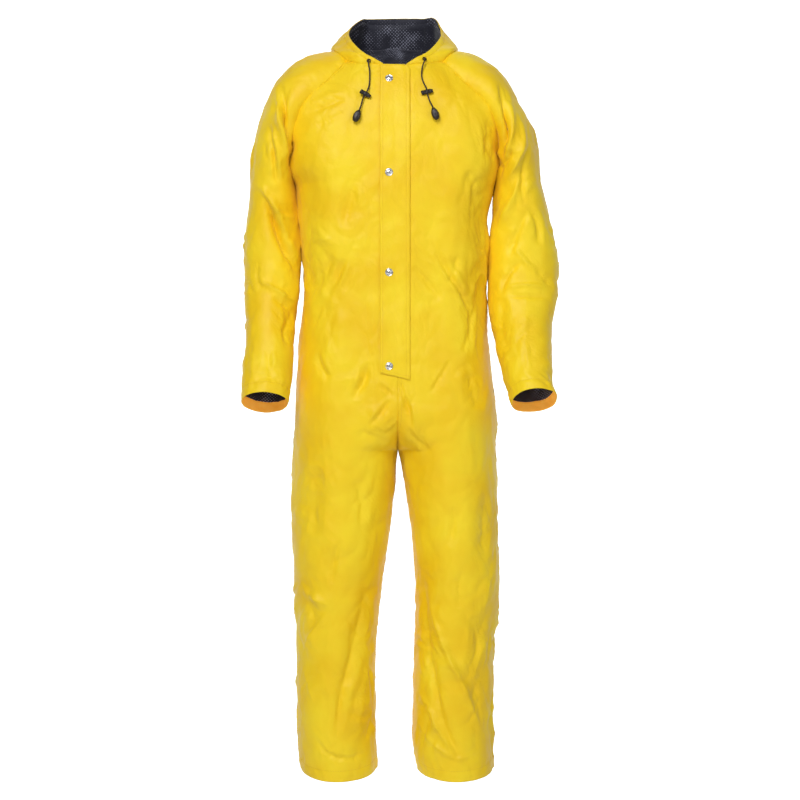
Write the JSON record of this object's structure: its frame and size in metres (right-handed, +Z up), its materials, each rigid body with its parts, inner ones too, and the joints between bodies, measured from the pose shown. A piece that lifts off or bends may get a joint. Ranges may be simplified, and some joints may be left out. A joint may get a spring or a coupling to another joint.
{
  "type": "rain coverall",
  "caption": "Worn, hollow one-piece rain coverall of coated cloth with raglan sleeves, legs, a snapped storm flap and a mesh-lined hood thrown back behind the neck.",
  "frame": {"origin": "at the base of the neck, between the shoulders, inside the hollow garment, where the wearer's body holds it up", "axes": "+Z up; the wearer faces -Y; the wearer's right is at -X"},
  "size_m": [0.6437, 0.3827, 1.5727],
  "materials": {
    "coated_cloth": "woven cloth with a soft semi-matte waterproof coating, yellow",
    "mesh_lining": "knitted mesh, dark navy",
    "snap_metal": "pressed and plated metal, satin",
    "cord_braid": "round braid, dark brown",
    "dark_plastic": "moulded, dark brown, satin"
  },
  "bodies": {
    "root": {"back_left": "coated_cloth", "back_right": "coated_cloth", "cord_end_left": "dark_plastic", "cord_end_right": "dark_plastic", "cord_lock_left": "dark_plastic", "cord_lock_right": "dark_plastic", "cuff_lining_left": "mesh_lining", "cuff_lining_right": "mesh_lining", "drawcord_left": "cord_braid", "drawcord_right": "cord_braid", "eyelet_left": "snap_metal", "eyelet_right": "snap_metal", "front_left": "coated_cloth", "front_right": "coated_cloth", "hood_left": "coated_cloth", "hood_lining": "mesh_lining", "hood_right": "coated_cloth", "pocket_facing_left": "coated_cloth", "pocket_facing_right": "coated_cloth", "sleeve_left": "coated_cloth", "sleeve_right": "coated_cloth", "snap_1": "snap_metal", "snap_2": "snap_metal", "snap_3": "snap_metal", "snap_4": "snap_metal", "storm_flap": "coated_cloth"}
  },
  "joints": []
}
